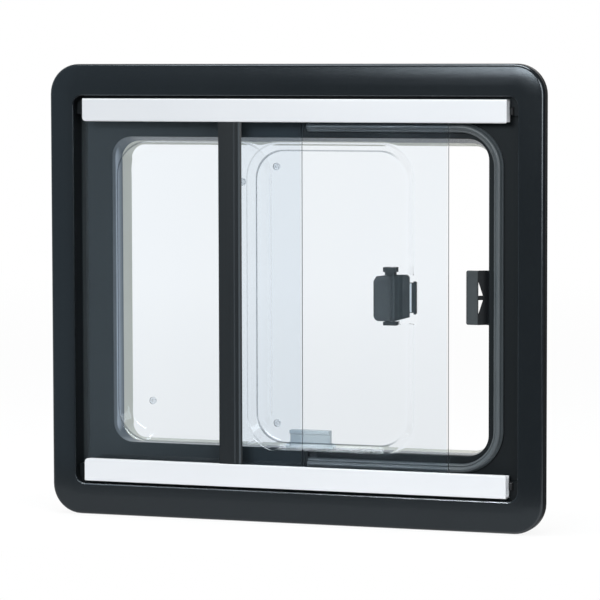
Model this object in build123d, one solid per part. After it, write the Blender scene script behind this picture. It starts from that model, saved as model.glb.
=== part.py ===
from build123d import *
import os

os.makedirs("parts", exist_ok=True)

# A caravan sliding window, seen from outside along +Y. X runs to the right, Y inward, Z up, in mm.
# Y = 0 is the back of the outer flange, which lies on the outside of the wall.
# Heights in this file are taken from the middle of the window, MID_Z above the origin.

# Whole window and the wall it is clamped in
OUTER_W = 548.0
OUTER_H = 484.0
WALL = 26.0
FLANGE_SIDE = 27.5
FLANGE_TOP = 33.5
COVER_X = 24.0
COVER_Z = 25.0
RECESS_W = OUTER_W - 2 * FLANGE_SIDE
RECESS_H = OUTER_H - 2 * FLANGE_TOP
CUTOUT_W = OUTER_W - 2 * COVER_X
CUTOUT_H = OUTER_H - 2 * COVER_Z
MID_Z = OUTER_H / 2 - COVER_Z / 2

# Outer frame: three floors in its recess (rail seat, seal land, pane rebate) and a tapering opening
FLANGE_T = 14.5
OUTER_R = 32.0
FLANGE_EDGE_R = 4.0
CROWN_W = 22.0
CROWN_H = 1.3
SLEEVE_PLAY = 1.0
SLEEVE_R = 20.0
SLEEVE_SHORT = 0.5
SLEEVE_END = WALL - SLEEVE_SHORT
RECESS_R = 10.5
LIP_R = 1.2
SEAT_Y = -3.5
SEAT_H = 20.0
SEAT_Z = RECESS_H / 2 - SEAT_H
LAND_Y = 2.0
FLOOR_Y = 9.5
LAND_SIDE = 35.5
LAND_TOP = 44.0
OPEN_W = RECESS_W - 2 * LAND_SIDE
OPEN_H = RECESS_H - 2 * LAND_TOP
OPEN_R = 22.0
TAPER_SIDE = 5.2
TAPER_TOP = 5.1
TAPER_R = 3.0
MOUTH_R = 1.0
DRAIN_X = 4.2
DRAIN_W = 10.0
DRAIN_H = 4.8
DRAIN_IN = 2.6
DRAIN_DEEP = 6.0

# Inner frame
INNER_COVER_X = 11.5
INNER_COVER_Z = 12.0
INNER_W = CUTOUT_W + 2 * INNER_COVER_X
INNER_H = CUTOUT_H + 2 * INNER_COVER_Z
INNER_R = 26.0
INNER_EDGE = 3.0
INNER_DEEP = 16.5
INNER_END = WALL + INNER_DEEP
INNER_T = 3.0
INNER_SIDE = 9.0
INNER_TOP = 8.8
INNER_SILL = 0.9
RIB_IN = 5.0
POST_W = 9.0
POST_HOLE_D = 4.2
POST_IN = 20.0

# Rails
RAIL_END_GAP = 11.5
RAIL_GAP = 3.2
RAIL_L = RECESS_W - 2 * RAIL_END_GAP
RAIL_TOP_Z = RECESS_H / 2 - RAIL_GAP
RAIL_H = 24.2
RAIL_PROUD = 2.0
RAIL_FRONT = -FLANGE_T - RAIL_PROUD
RAIL_T = 1.8
RAIL_BACK_SHORT = 1.0
RAIL_CORNER_R = 4.0
RAIL_EDGE_R = 1.2
STOP_L = 4.0
STOP_H = 8.0
STOP_T = 3.5
STOP_PLAY = 0.3
STOP_UP = 1.0
STOP_EDGE = 1.0

# Panes: a flat outer sheet and a formed inner tray each
SHEET_T = 3.0
SHEET_R = 8.0
TRAY_T = 2.0
TRAY_R = 36.0
TRAY_RISE = 9.0
TRAY_SLOPE = 9.5
TRAY_SHOULDER = 2.2
TRAY_PLAY = 2.5
TRAY_MARGIN = 34.35
RIM_INSET = 1.0
PANE_GAP = 6.0
PANE_PLAY = 1.5
MEET_X = 6.2
MEET_LAP = 15.2
CLOSED_GAP = 2.5
OPEN_BY = 72.0
SASH_HEAD = 10.0
SASH_FOOT = 11.5
FIXED_LEFT = -RECESS_W / 2 + PANE_GAP
FIXED_RIGHT = MEET_X
FIXED_H = 2 * (SEAT_Z - PANE_PLAY)
FIXED_MID = (FIXED_LEFT + FIXED_RIGHT) / 2
FIXED_FRONT = FLOOR_Y - SHEET_T - TRAY_T
FIXED_TRAY_BACK = FLOOR_Y + TRAY_RISE
SASH_LEFT = MEET_X - MEET_LAP - OPEN_BY + 2
SASH_RIGHT = RECESS_W / 2 - CLOSED_GAP - OPEN_BY
SASH_TOP = RECESS_H / 2 - SASH_HEAD
SASH_BOTTOM = -RECESS_H / 2 + SASH_FOOT
SASH_FRONT = -13.2
SASH_BACK = SASH_FRONT + SHEET_T + TRAY_T
SASH_MID = (SASH_LEFT + SASH_RIGHT) / 2 + 1.5
SASH_TRAY_BACK = SASH_BACK + TRAY_RISE
TRAY_W = FIXED_RIGHT - FIXED_LEFT - 2 * TRAY_MARGIN
TRAY_H = OPEN_H - 2 * TRAY_PLAY
TRAY_MID_Z = -1.5
LAND_X = MEET_X + 2.8
VENT_D = 8.0
VENT_H = 2.5
FIXED_VENT_X = 37.0
FIXED_VENT_Z = 43.5
SASH_VENT_X = 20.5
SASH_VENT_Z = 26.3

# Upright bar on the free edge of the sash
BAR_W = 26.0
BAR_CHEEK = 2.0
BAR_LEFT = SASH_LEFT - BAR_CHEEK
BAR_SKIN = 1.0
BAR_FRONT = SASH_FRONT - BAR_SKIN
BAR_T = 1.4
BAR_EDGE = 0.6
BAR_GROOVE_IN = 8.2
BAR_GROOVE_W = 4.2
BAR_RIDGE_W = 2.4
FIN_X = 7.4
FIN_T = 1.6
FIN_H = 5.0
FIN_GAP = 8.6
FIN_Z = SEAT_Z - FIN_GAP
BAR_SEAL_W = 6.0
BAR_SEAL_GAP = 1.2

# Glides on the sash edges
GLIDE_L = 36.0
GLIDE_PLAY = 0.3
GLIDE_HEAD_PLAY = 1.5
GLIDE_GRIP = 9.0
GLIDE_BACK = 0.9
GLIDE_R = 1.5
GLIDE_LEFT = 52.0
GLIDE_RIGHT = 48.0

# Seal round the opening half
SEAL_W = 9.6
SEAL_H = 9.2
SEAL_FOOT_H = 3.6
SEAL_FOOT_IN = 1.5
SEAL_SIDE = 16.4
SEAL_TOP = 17.0
SEAL_DROP = 0.8
SEAL_X = OPEN_W / 2 + SEAL_SIDE
SEAL_Z = OPEN_H / 2 + SEAL_TOP
SEAL_R = 46.0
SEAL_START = LAND_X + 6.8
SEAL_CROWN = 2.2

# Latch on the sash; the plan sizes of its lever are taken from the pin
LATCH_IN = 67.8
PIN_X = SASH_RIGHT - LATCH_IN
PIN_RISE = 8.2
PIN_Y = SASH_TRAY_BACK + PIN_RISE
PIN_D = 4.0
PIN_PLAY = 0.3
EAR_W = 14.0
EAR_END = 3.6
EAR_CORNER = 2.4
EAR_TOP_T = 4.9
EAR_FOOT_T = 3.6
STEM_W = 10.0
STEM_T = 3.0
LEVER_H = 48.6
LEVER_DROP = 2.3
LEVER_PLAY = 0.3
LEVER_TOP = LEVER_H / 2 - LEVER_DROP
LEVER_FOOT = LEVER_TOP - LEVER_H
WING_L = 19.0
WING_FACE = 3.5
WING_BACK = 2.0
WING_SLANT = 1.7
WING_BEVEL_W = 3.2
WING_BEVEL_H = 5.0
WING_FOOT_R = 6.0
WING_CUT = 3.6
WING_CUT_TOP = 1.6
CREASE_W = 2.0
CREASE_D = 0.8
BARREL_D = 9.0
RIGHT_X0 = 4.0
RIGHT_X1 = 10.0
RIGHT_Y1 = 3.8
RIGHT_X2 = 16.0
RIGHT_Y2 = 7.6
ARM_T = 3.0
ARM_SET = 0.4
ARM_X = 21.2
ARM_Y = 9.4
ARM_H = 31.8
HOOK_T = 2.4
HOOK_TIP = 7.0
HOOK_BACK = 14.0
HOOK_MORE = 1.5
HOOK_TAPER = 1.6
LEAF_T = 0.5
LEAF_IN = 0.8

# Catch on the side of the opening
CATCH_W = 12.5
CATCH_STAND = 25.5
CATCH_LEFT = OPEN_W / 2 - CATCH_STAND
CATCH_RIGHT = CATCH_LEFT + CATCH_W
CATCH_H = 56.4
CATCH_FRONT = 6.0
CATCH_T = 3.0
CATCH_R = 2.0
CATCH_EDGE = 0.8
CATCH_RIB_IN = 6.3
CATCH_RIB_W = 4.0
CATCH_RIB_BACK = 12.0
CATCH_END_T = 2.6
CATCH_GUSSET_T = 2.0
CATCH_POCKET = 0.5
CATCH_POCKET_IN = 1.2
CATCH_POCKET_END = 4.0
CATCH_POCKET_R = 4.5
CATCH_GUSSET_FALL = 6.0
CATCH_GUSSET_W = 4.6
CATCH_GUSSET_Z = 19.0
CATCH_MID_H = 4.6
CATCH_FOOT = 5.0
CATCH_FOOT_BACK = 16.0

# Clear block on the sill behind the free corner of the fixed pane
BLOCK_LAP = 15.7
BLOCK_W = 43.6
BLOCK_H = 19.5
BLOCK_DEEP = 10.0
BLOCK_GAP = 0.3
BLOCK_LIP_H = 4.0
BLOCK_LIP = 0.8
BLOCK_FOOT_H = 6.0
BLOCK_FOOT_RISE = 2.5
BLOCK_FOOT = 4.4


def front_plane(y):
    """Plane facing outward at depth y, with its middle on the middle of the window."""
    return Plane(origin=(0, y, MID_Z), x_dir=(1, 0, 0), z_dir=(0, -1, 0))


def slab(shape, y0, y1):
    """A drawn outline made solid between the depths y0 and y1."""
    return extrude(front_plane(y1) * shape, amount=y1 - y0)


def box(x0, x1, y0, y1, z0, z1):
    """A square-edged block given by its limits, each pair in any order."""
    shape = Pos((x0 + x1) / 2, (z0 + z1) / 2) * Rectangle(abs(x1 - x0), abs(z1 - z0))
    return slab(shape, y0, y1)


def panel(left, right, bottom, top, r):
    """A rounded outline given by its four sides."""
    return Pos((left + right) / 2, (bottom + top) / 2) * RectangleRounded(right - left, top - bottom, r)


def front_shape(points):
    """A straight-sided outline seen from the front."""
    return make_face(Polyline(*points, close=True))


def funnel(near, near_y, far, far_y):
    """A tapering solid between two outlines at two depths."""
    return loft([front_plane(near_y) * near, front_plane(far_y) * far])


def plan_block(points, z0, z1):
    """An outline drawn looking down, made solid between two heights."""
    face = make_face(Polyline(*points, close=True))
    return extrude(Plane(origin=(0, 0, MID_Z + z0)) * face, amount=z1 - z0)


def upright(x, y, d, z0, z1):
    """A round upright bar."""
    return Pos(x, y, MID_Z + (z0 + z1) / 2) * Cylinder(d / 2, abs(z1 - z0))


def round_bar(x, z, d, y0, y1):
    """A round bar that runs inward."""
    return slab(Pos(x, z) * Circle(d / 2), y0, y1)


def sleeve_end_outline():
    """Opening of the sleeve where it ends on the room side; its sill stays level."""
    half = OPEN_W / 2 - TAPER_SIDE
    return panel(-half, half, -OPEN_H / 2, OPEN_H / 2 - TAPER_TOP, OPEN_R - TAPER_R)


def flange_section():
    """Section of the flange's outer band, drawn inward from its edge: crowned front and a round edge."""
    crown = TangentArc((CROWN_W, FLANGE_T), (0, FLANGE_T - CROWN_H), tangent=(-1, 0))
    sides = Polyline((0, FLANGE_T - CROWN_H), (0, 0), (CROWN_W, 0), (CROWN_W, FLANGE_T))
    shape = make_face(Curve() + [crown, sides])
    edge = [v for v in shape.vertices() if v.X < CROWN_W / 2 and v.Y > FLANGE_T / 2]
    return fillet(edge, FLANGE_EDGE_R)


def make_flange():
    """Flat middle of the flange with its crowned band swept round it."""
    outline = front_plane(0) * RectangleRounded(OUTER_W, OUTER_H, OUTER_R)
    path = outline.wires()[0]
    start = path.edges().filter_by(GeomType.LINE).sort_by(Axis.X)[-1]
    at = Plane(origin=start @ 0.5, x_dir=(-1, 0, 0), z_dir=(0, 0, 1))
    band = sweep(at * flange_section(), path=path)
    middle = RectangleRounded(OUTER_W - 2 * CROWN_W, OUTER_H - 2 * CROWN_W, OUTER_R - CROWN_W)
    return band + slab(middle, -FLANGE_T, 0)


def make_outer_frame():
    """Moulded frame: flange outside, stepped recess, and a sleeve that passes through the wall."""
    flange = make_flange()
    sleeve = RectangleRounded(CUTOUT_W - 2 * SLEEVE_PLAY, CUTOUT_H - 2 * SLEEVE_PLAY, SLEEVE_R)
    body = flange + slab(sleeve, 0, SLEEVE_END)
    body -= slab(RectangleRounded(RECESS_W, RECESS_H, RECESS_R), -FLANGE_T, SEAT_Y)
    body = fillet(body.faces().sort_by(Axis.Y)[0].inner_wires()[0].edges(), LIP_R)
    half = RECESS_W / 2
    body -= box(-half, LAND_X, SEAT_Y, FLOOR_Y, -SEAT_Z, SEAT_Z)
    body -= box(LAND_X, half, SEAT_Y, LAND_Y, -SEAT_Z, SEAT_Z)
    mouth = RectangleRounded(OPEN_W, OPEN_H, OPEN_R)
    body -= slab(mouth, SEAT_Y, FLOOR_Y)
    body -= funnel(mouth, FLOOR_Y, sleeve_end_outline(), SLEEVE_END)
    edges = body.edges().filter_by_position(Axis.Y, LAND_Y - MOUTH_R / 9, LAND_Y + MOUTH_R / 9)
    edges = edges.filter_by_position(Axis.X, LAND_X + MOUTH_R, OPEN_W / 2 + MOUTH_R)
    edges = edges.filter_by_position(Axis.Z, MID_Z - OPEN_H / 2 - MOUTH_R, MID_Z + OPEN_H / 2 + MOUTH_R)
    body = fillet(edges, MOUTH_R)
    drain_z = -OPEN_H / 2 - DRAIN_IN
    drain_x = LAND_X + DRAIN_X
    return body - box(drain_x, drain_x + DRAIN_W, LAND_Y, LAND_Y + DRAIN_DEEP, drain_z - DRAIN_H, drain_z)


def post_places():
    """Middle points of the screw posts round the inner frame."""
    x = OPEN_W / 2 + POST_IN
    z = OPEN_H / 2 + POST_IN
    places = []
    for i in (-1, 1):
        places += [(i * x / 2, z), (i * x / 2, -z), (-x, i * z / 2), (x, i * z / 2)]
    return places


def make_inner_frame():
    """Hollow clamping frame on the room side, open towards the wall, with a rib and posts for its screws."""
    t = INNER_T
    half = OPEN_W / 2 - INNER_SIDE
    near = sleeve_end_outline()
    far = panel(-half, half, INNER_SILL - OPEN_H / 2, OPEN_H / 2 - INNER_TOP, OPEN_R - 2 * TAPER_R)
    cover = slab(RectangleRounded(INNER_W, INNER_H, INNER_R), WALL, INNER_END)
    cover = chamfer(cover.faces().sort_by(Axis.Y)[-1].edges(), INNER_EDGE)
    cover -= slab(RectangleRounded(INNER_W - 2 * t, INNER_H - 2 * t, INNER_R - t), WALL, INNER_END - t)
    rib = RectangleRounded(CUTOUT_W - 2 * RIB_IN, CUTOUT_H - 2 * RIB_IN, SLEEVE_R)
    cover += slab(rib - offset(rib, -t), SLEEVE_END, INNER_END - t)
    cover += funnel(offset(near, t), SLEEVE_END, offset(far, t), INNER_END)
    for x, z in post_places():
        cover += slab(Pos(x, z) * Rectangle(POST_W, POST_W), SLEEVE_END, INNER_END - t)
        cover -= round_bar(x, z, POST_HOLE_D, SLEEVE_END, INNER_END)
    return cover - funnel(near, SLEEVE_END, far, INNER_END)


def rail_profile():
    """Section of a rail, drawn in Y and Z, open towards the panes, with soft front edges."""
    t = RAIL_T
    foot = RAIL_TOP_Z - RAIL_H
    front = Pos(RAIL_FRONT + t / 2, RAIL_TOP_Z - RAIL_H / 2) * Rectangle(t, RAIL_H)
    web = Pos((RAIL_FRONT + SEAT_Y) / 2, RAIL_TOP_Z - t / 2) * Rectangle(SEAT_Y - RAIL_FRONT, t)
    back_h = RAIL_H - RAIL_BACK_SHORT
    back = Pos(SEAT_Y - t / 2, RAIL_TOP_Z - back_h / 2) * Rectangle(t, back_h)
    shape = front + web + back
    soft = [v for v in shape.vertices() if v.X < RAIL_FRONT + RAIL_EDGE_R / 2]
    shape = fillet(soft, RAIL_EDGE_R)
    tip = [v for v in shape.vertices() if v.Y < foot + RAIL_EDGE_R / 2 and v.X > RAIL_FRONT + t - RAIL_EDGE_R / 2]
    return fillet(tip, RAIL_EDGE_R / 3)


def make_rail(up):
    """Drawn aluminium channel that the sash runs in, with its foot corners rounded off."""
    start = Plane(origin=(-RAIL_L / 2, 0, MID_Z), x_dir=(0, 1, 0), z_dir=(1, 0, 0))
    rail = extrude(start * rail_profile(), amount=RAIL_L)
    foot = RAIL_TOP_Z - RAIL_H
    for end in (-1, 1):
        r = RAIL_CORNER_R if end < 0 else RAIL_CORNER_R / 2
        x = end * RAIL_L / 2
        corner = box(x, x - end * r, RAIL_FRONT - r, SEAT_Y + r, foot, foot + r)
        rail -= corner - round_bar(x - end * r, foot + r, 2 * r, RAIL_FRONT - 2 * r, SEAT_Y + 2 * r)
    return rail if up else mirror(rail, about=Plane(origin=(0, 0, MID_Z), z_dir=(0, 0, 1)))


def make_rail_stops(up):
    """Soft stoppers on the rail seat, one past each end of a rail, that keep it from creeping sideways."""
    s = 1 if up else -1
    z0 = s * (SEAT_Z + STOP_UP)
    stops = []
    for end in (-1, 1):
        x0 = end * (RAIL_L / 2 + STOP_PLAY)
        stop = box(x0, x0 + end * STOP_L, SEAT_Y - STOP_T, SEAT_Y, z0, z0 + s * STOP_H)
        stops.append(chamfer(stop.faces().sort_by(Axis.Y)[0].edges(), STOP_EDGE))
    return Compound(stops)


def tray_outline(mid_x, inset):
    """Outline of a tray at one level of its slope; its corners tighten as it narrows."""
    shape = RectangleRounded(TRAY_W - 2 * inset, TRAY_H - 2 * inset, TRAY_R - inset / 2)
    return Pos(mid_x, TRAY_MID_Z) * shape


def make_tray(mid_x, sheet, front):
    """Formed inner skin of a pane: a flat rim and a shallow tray with wide round corners and a soft floor edge."""
    rim_y = front + TRAY_T
    shoulder_y = rim_y + TRAY_RISE - TRAY_SHOULDER
    base = tray_outline(mid_x, 0)
    shoulder = tray_outline(mid_x, TRAY_SLOPE * (TRAY_RISE - TRAY_SHOULDER) / TRAY_RISE)
    floor = tray_outline(mid_x, TRAY_SLOPE + TRAY_SHOULDER)
    rise = funnel(base, rim_y, shoulder, shoulder_y) + funnel(shoulder, shoulder_y, floor, rim_y + TRAY_RISE)
    inside_base = tray_outline(mid_x, TRAY_T)
    inside_floor = tray_outline(mid_x, TRAY_SLOPE + TRAY_T)
    hollow = funnel(inside_base, rim_y, inside_floor, rim_y + TRAY_RISE - TRAY_T)
    skin = slab(offset(sheet, -RIM_INSET), front, rim_y) + rise
    return skin - hollow - slab(inside_base, front, rim_y)


def fixed_outline():
    return panel(FIXED_LEFT, FIXED_RIGHT, -FIXED_H / 2, FIXED_H / 2, SHEET_R)


def sash_outline():
    return panel(SASH_LEFT, SASH_RIGHT, SASH_BOTTOM, SASH_TOP, SHEET_R)


def make_vents(places, y):
    """Small push-in stoppers that close the air holes of a tray."""
    vents = []
    for x, z in places:
        vents.append(round_bar(x, z, VENT_D, y, y + VENT_H))
    return Compound(vents)


def make_fixed_vents():
    """The fixed pane has its stoppers in two opposite corners."""
    dx = TRAY_W / 2 - FIXED_VENT_X
    dz = TRAY_H / 2 - FIXED_VENT_Z
    places = ((FIXED_MID - dx, TRAY_MID_Z - dz), (FIXED_MID + dx, TRAY_MID_Z + dz))
    return make_vents(places, FIXED_TRAY_BACK)


def make_sash_vents():
    """The sash has its stoppers in both corners next to the bar."""
    x = SASH_MID - TRAY_W / 2 + SASH_VENT_X
    dz = TRAY_H / 2 - SASH_VENT_Z
    return make_vents(((x, TRAY_MID_Z - dz), (x, TRAY_MID_Z + dz)), SASH_TRAY_BACK)


def make_bar():
    """Drawn upright on the free edge of the sash, gripping its sheet and tray rim, with a seal fin behind."""
    x = BAR_LEFT
    right = x + BAR_W
    e = BAR_EDGE
    groove = right - BAR_GROOVE_IN
    ridge = groove + BAR_GROOVE_W
    points = [
        (x, BAR_FRONT + e), (x + e, BAR_FRONT),
        (groove, BAR_FRONT), (groove + e, BAR_FRONT + e), (ridge - e, BAR_FRONT + e), (ridge, BAR_FRONT),
        (ridge + BAR_RIDGE_W, BAR_FRONT), (right, SASH_FRONT), (SASH_LEFT, SASH_FRONT),
        (SASH_LEFT, SASH_BACK), (right - BAR_CHEEK, SASH_BACK), (right - BAR_CHEEK, SASH_BACK + BAR_T),
        (x + e, SASH_BACK + BAR_T), (x, SASH_BACK + BAR_T - e),
    ]
    bar = plan_block(points, SASH_BOTTOM, SASH_TOP)
    return bar + box(x + FIN_X, x + FIN_X + FIN_T, SASH_BACK, SASH_BACK + BAR_T + FIN_H, -FIN_Z, FIN_Z)


def make_bar_seal():
    """Soft strip on the fin of the bar that wipes along the fixed pane."""
    y0 = SASH_BACK + BAR_T + FIN_H
    y1 = FIXED_FRONT - BAR_SEAL_GAP
    x = BAR_LEFT + FIN_X + FIN_T / 2
    w = BAR_SEAL_W / 2
    mid = (y0 + y1) / 2
    points = [(x - w, y0), (x + w, y0), (x + 0.7 * w, mid), (x + 0.3 * w, y1), (x - 0.3 * w, y1), (x - 0.7 * w, mid)]
    return plan_block(points, -FIN_Z, FIN_Z)


def make_glides(up):
    """Slippery shoes clipped on an edge of the sash, running in a rail."""
    s = 1 if up else -1
    edge = SASH_TOP if up else SASH_BOTTOM
    far = s * (RAIL_TOP_Z - RAIL_T - (GLIDE_HEAD_PLAY if up else GLIDE_PLAY))
    near = edge - s * GLIDE_GRIP
    y0 = RAIL_FRONT + RAIL_T + GLIDE_PLAY
    shoes = []
    for x in (SASH_LEFT + GLIDE_LEFT, SASH_RIGHT - GLIDE_RIGHT):
        shoe = box(x - GLIDE_L / 2, x + GLIDE_L / 2, y0, SASH_BACK + GLIDE_BACK, near, far)
        shoe = chamfer(shoe.edges().filter_by(Axis.Y), GLIDE_R)
        shoe -= box(x - GLIDE_L, x + GLIDE_L, SASH_FRONT, SASH_BACK, near - s * GLIDE_R, edge)
        shoes.append(shoe)
    return Compound(shoes)


def seal_band(inset, y0):
    """A C-shaped band on the land, narrowed by inset on both sides."""
    w = SEAL_W - 2 * inset
    outer = RectangleRounded(2 * (SEAL_X - inset), 2 * (SEAL_Z - inset), SEAL_R - inset)
    inner = offset(outer, -w)
    keep = Pos(SEAL_START + SEAL_X, 0) * Rectangle(2 * SEAL_X, 3 * SEAL_Z)
    return slab(Pos(0, -SEAL_DROP) * ((outer - inner) & keep), y0, LAND_Y)


def make_seal():
    """Rubber seal round the opening half: a flat foot on the land and a rounded bulb on it."""
    bulb = seal_band(SEAL_FOOT_IN, LAND_Y - SEAL_H)
    crown = bulb.faces().sort_by(Axis.Y)[0].edges()
    crown = [e for e in crown if e.center().X > SEAL_START + SEAL_FOOT_IN / 10]
    return chamfer(crown, SEAL_CROWN) + seal_band(0, LAND_Y - SEAL_FOOT_H)


def make_latch_base():
    """Two bearing blocks bonded to the sash tray: a T-shaped one above the lever and a plain one below it."""
    y = SASH_TRAY_BACK
    end = PIN_Y + EAR_END
    c = EAR_CORNER
    top = LEVER_TOP + LEVER_PLAY
    foot = LEVER_FOOT - LEVER_PLAY
    blocks = []
    for w, low, high in ((STEM_W / 2, top, top + STEM_T), (EAR_W / 2, top + STEM_T, top + STEM_T + EAR_TOP_T),
                         (EAR_W / 2, foot - EAR_FOOT_T, foot)):
        plan = [(-w, y), (-w, end - c), (c - w, end), (w - c, end), (w, end - c), (w, y)]
        block = plan_block([(PIN_X + px, py) for px, py in plan], low, high)
        blocks.append(block - upright(PIN_X, PIN_Y, PIN_D, low, high))
    return Compound([blocks[0] + blocks[1], blocks[2]])


def make_latch_pin():
    low = LEVER_FOOT - LEVER_PLAY - EAR_FOOT_T
    high = LEVER_TOP + LEVER_PLAY + STEM_T + EAR_TOP_T
    return upright(PIN_X, PIN_Y, PIN_D, low, high)


def from_pin(points):
    """Plan points measured from the latch pin."""
    return [(PIN_X + x, PIN_Y + y) for x, y in points]


def make_latch_lever():
    """Rocking lever: a finger wing to the left of the pin, a receding wing and a hook arm to the right."""
    top = LEVER_TOP
    foot = LEVER_FOOT
    mid = (top + foot) / 2
    c = CREASE_W
    face = -WING_FACE
    wings = plan_block(from_pin([
        (-WING_L, face), (-c, face), (0, face + CREASE_D), (c, face), (RIGHT_X0, face),
        (RIGHT_X1, RIGHT_Y1), (RIGHT_X2, RIGHT_Y2), (RIGHT_X2, RIGHT_Y2 + ARM_T),
        (RIGHT_X0, BARREL_D / 2), (-RIGHT_X0, BARREL_D / 2), (-RIGHT_X1, WING_BACK), (-WING_L, WING_BACK),
    ]), foot, top)
    corner = wings.edges().filter_by(Axis.Y).sort_by(Axis.X)[:2].sort_by(Axis.Z)[:1]
    wings = fillet(corner, WING_FOOT_R)
    left = PIN_X - WING_L
    right = PIN_X + RIGHT_X2
    bevel = [(left, top), (PIN_X - 1.5 * c, top), (left + WING_BEVEL_W, top - WING_SLANT),
             (left, top - WING_SLANT - WING_BEVEL_H)]
    foot_cut = [(PIN_X + 1.5 * c, foot), (right, foot + WING_CUT), (right, foot)]
    top_cut = [(right - WING_CUT_TOP, top), (right, top), (right, top - 2 * WING_CUT_TOP)]
    for shape in (bevel, foot_cut, top_cut):
        wings -= slab(front_shape(shape), PIN_Y - WING_L, PIN_Y + WING_L)
    end_x = ARM_X + HOOK_T / 2
    arm = plan_block(from_pin([
        (RIGHT_X1, RIGHT_Y1 + 2 * ARM_SET), (RIGHT_X2, RIGHT_Y2 + ARM_SET), (ARM_X, ARM_Y), (end_x, ARM_Y),
        (end_x, ARM_Y + ARM_T), (RIGHT_X2, RIGHT_Y2 + ARM_T - ARM_SET), (RIGHT_X1, RIGHT_Y1 + ARM_T),
    ]), mid - ARM_H / 2, mid + ARM_H / 2)
    z0 = ARM_H / 2 + HOOK_MORE
    z1 = z0 - HOOK_TAPER
    side = [(HOOK_TIP, -z0), (HOOK_BACK, -z1), (HOOK_BACK, z1), (HOOK_TIP, z0)]
    hook_plane = Plane(origin=(PIN_X + ARM_X, PIN_Y, MID_Z + mid), x_dir=(0, 1, 0), z_dir=(1, 0, 0))
    hook = extrude(hook_plane * make_face(Polyline(*side, close=True)), amount=HOOK_T)
    return wings + arm + hook - upright(PIN_X, PIN_Y, PIN_D + 2 * PIN_PLAY, foot, top)


def make_latch_leaf():
    """Thin steel leaf on the outward side of the hook arm."""
    near_y = RIGHT_Y2 + ARM_SET
    slope = (ARM_Y - near_y) / (ARM_X - RIGHT_X2)
    x0 = RIGHT_X2 + LEAF_IN
    x1 = ARM_X - LEAF_IN
    y0 = near_y + slope * LEAF_IN
    y1 = ARM_Y - slope * LEAF_IN
    points = [(x0, y0), (x1, y1), (x1, y1 - LEAF_T), (x0, y0 - LEAF_T)]
    mid = (LEVER_TOP + LEVER_FOOT) / 2
    h = ARM_H / 2 - LEAF_IN
    return plan_block(from_pin(points), mid - h, mid + h)


def make_catch():
    """Moulded keeper on the side of the opening: strike plate with a back rib, falling gussets, and a foot."""
    h = CATCH_H / 2
    wall = OPEN_W / 2
    foot_x = wall - CATCH_FOOT
    foot_back_x = wall - TAPER_SIDE * (CATCH_FOOT_BACK - FLOOR_Y) / (SLEEVE_END - FLOOR_Y)
    low = CATCH_FRONT + CATCH_GUSSET_FALL
    t = CATCH_GUSSET_T
    catch = plan_block([(foot_x, low), (wall, CATCH_FRONT), (wall, FLOOR_Y), (foot_back_x, CATCH_FOOT_BACK),
                        (foot_x, CATCH_FOOT_BACK)], -h, h)
    plate = Pos((CATCH_LEFT + foot_x) / 2, 0) * RectangleRounded(foot_x - CATCH_LEFT, CATCH_H, CATCH_R)
    strike = slab(plate, CATCH_FRONT, CATCH_FRONT + CATCH_T)
    strike = chamfer(strike.faces().sort_by(Axis.Y)[0].edges(), CATCH_EDGE)
    pocket = panel(CATCH_LEFT + CATCH_POCKET_IN, CATCH_RIGHT - CATCH_POCKET_IN, CATCH_POCKET_END - h,
                   h - CATCH_POCKET_END, CATCH_POCKET_R)
    strike -= slab(pocket, CATCH_FRONT, CATCH_FRONT + CATCH_POCKET)
    catch += strike - box(CATCH_RIGHT, foot_x, CATCH_FRONT, CATCH_FRONT + CATCH_T, -h, h)
    rib_x = CATCH_LEFT + CATCH_RIB_IN
    catch += box(rib_x, rib_x + CATCH_RIB_W, CATCH_FRONT + CATCH_T, CATCH_RIB_BACK, -h + CATCH_R, h - CATCH_R)
    fall = plan_block([(CATCH_RIGHT, CATCH_FRONT), (foot_x, low), (foot_x, low + t), (CATCH_RIGHT, CATCH_FRONT + t)],
                      -h, h)
    mid = CATCH_MID_H / 2
    for s in (-1, 1):
        window = [(CATCH_RIGHT, s * CATCH_GUSSET_Z), (CATCH_RIGHT, s * mid), (CATCH_RIGHT + CATCH_GUSSET_W, s * mid)]
        fall -= slab(front_shape(window), CATCH_FRONT, low + t)
        z = s * (h - CATCH_END_T)
        end = [(CATCH_RIGHT, CATCH_FRONT), (foot_x, low), (foot_x, CATCH_FOOT_BACK), (CATCH_RIGHT, CATCH_RIB_BACK)]
        catch += plan_block(end, min(z, s * h), max(z, s * h))
    return catch + fall


def make_block():
    """Clear block on the sill: wide foot, plain body and a lip along its top."""
    z0 = -OPEN_H / 2
    z1 = z0 + BLOCK_H
    x0 = FIXED_RIGHT - BLOCK_LAP
    x1 = x0 + BLOCK_W
    lip = BLOCK_LIP
    foot_z = z0 + BLOCK_FOOT_H
    right = [(x1 + BLOCK_FOOT, z0), (x1 + BLOCK_FOOT, foot_z - BLOCK_FOOT_RISE), (x1 - lip, foot_z),
             (x1 - lip, z1 - BLOCK_LIP_H), (x1, z1 - BLOCK_LIP_H), (x1, z1)]
    left = [(x0 + x1 - x, z) for x, z in reversed(right)]
    return slab(front_shape(right + left), FLOOR_Y + BLOCK_GAP, FLOOR_Y + BLOCK_DEEP)


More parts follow.
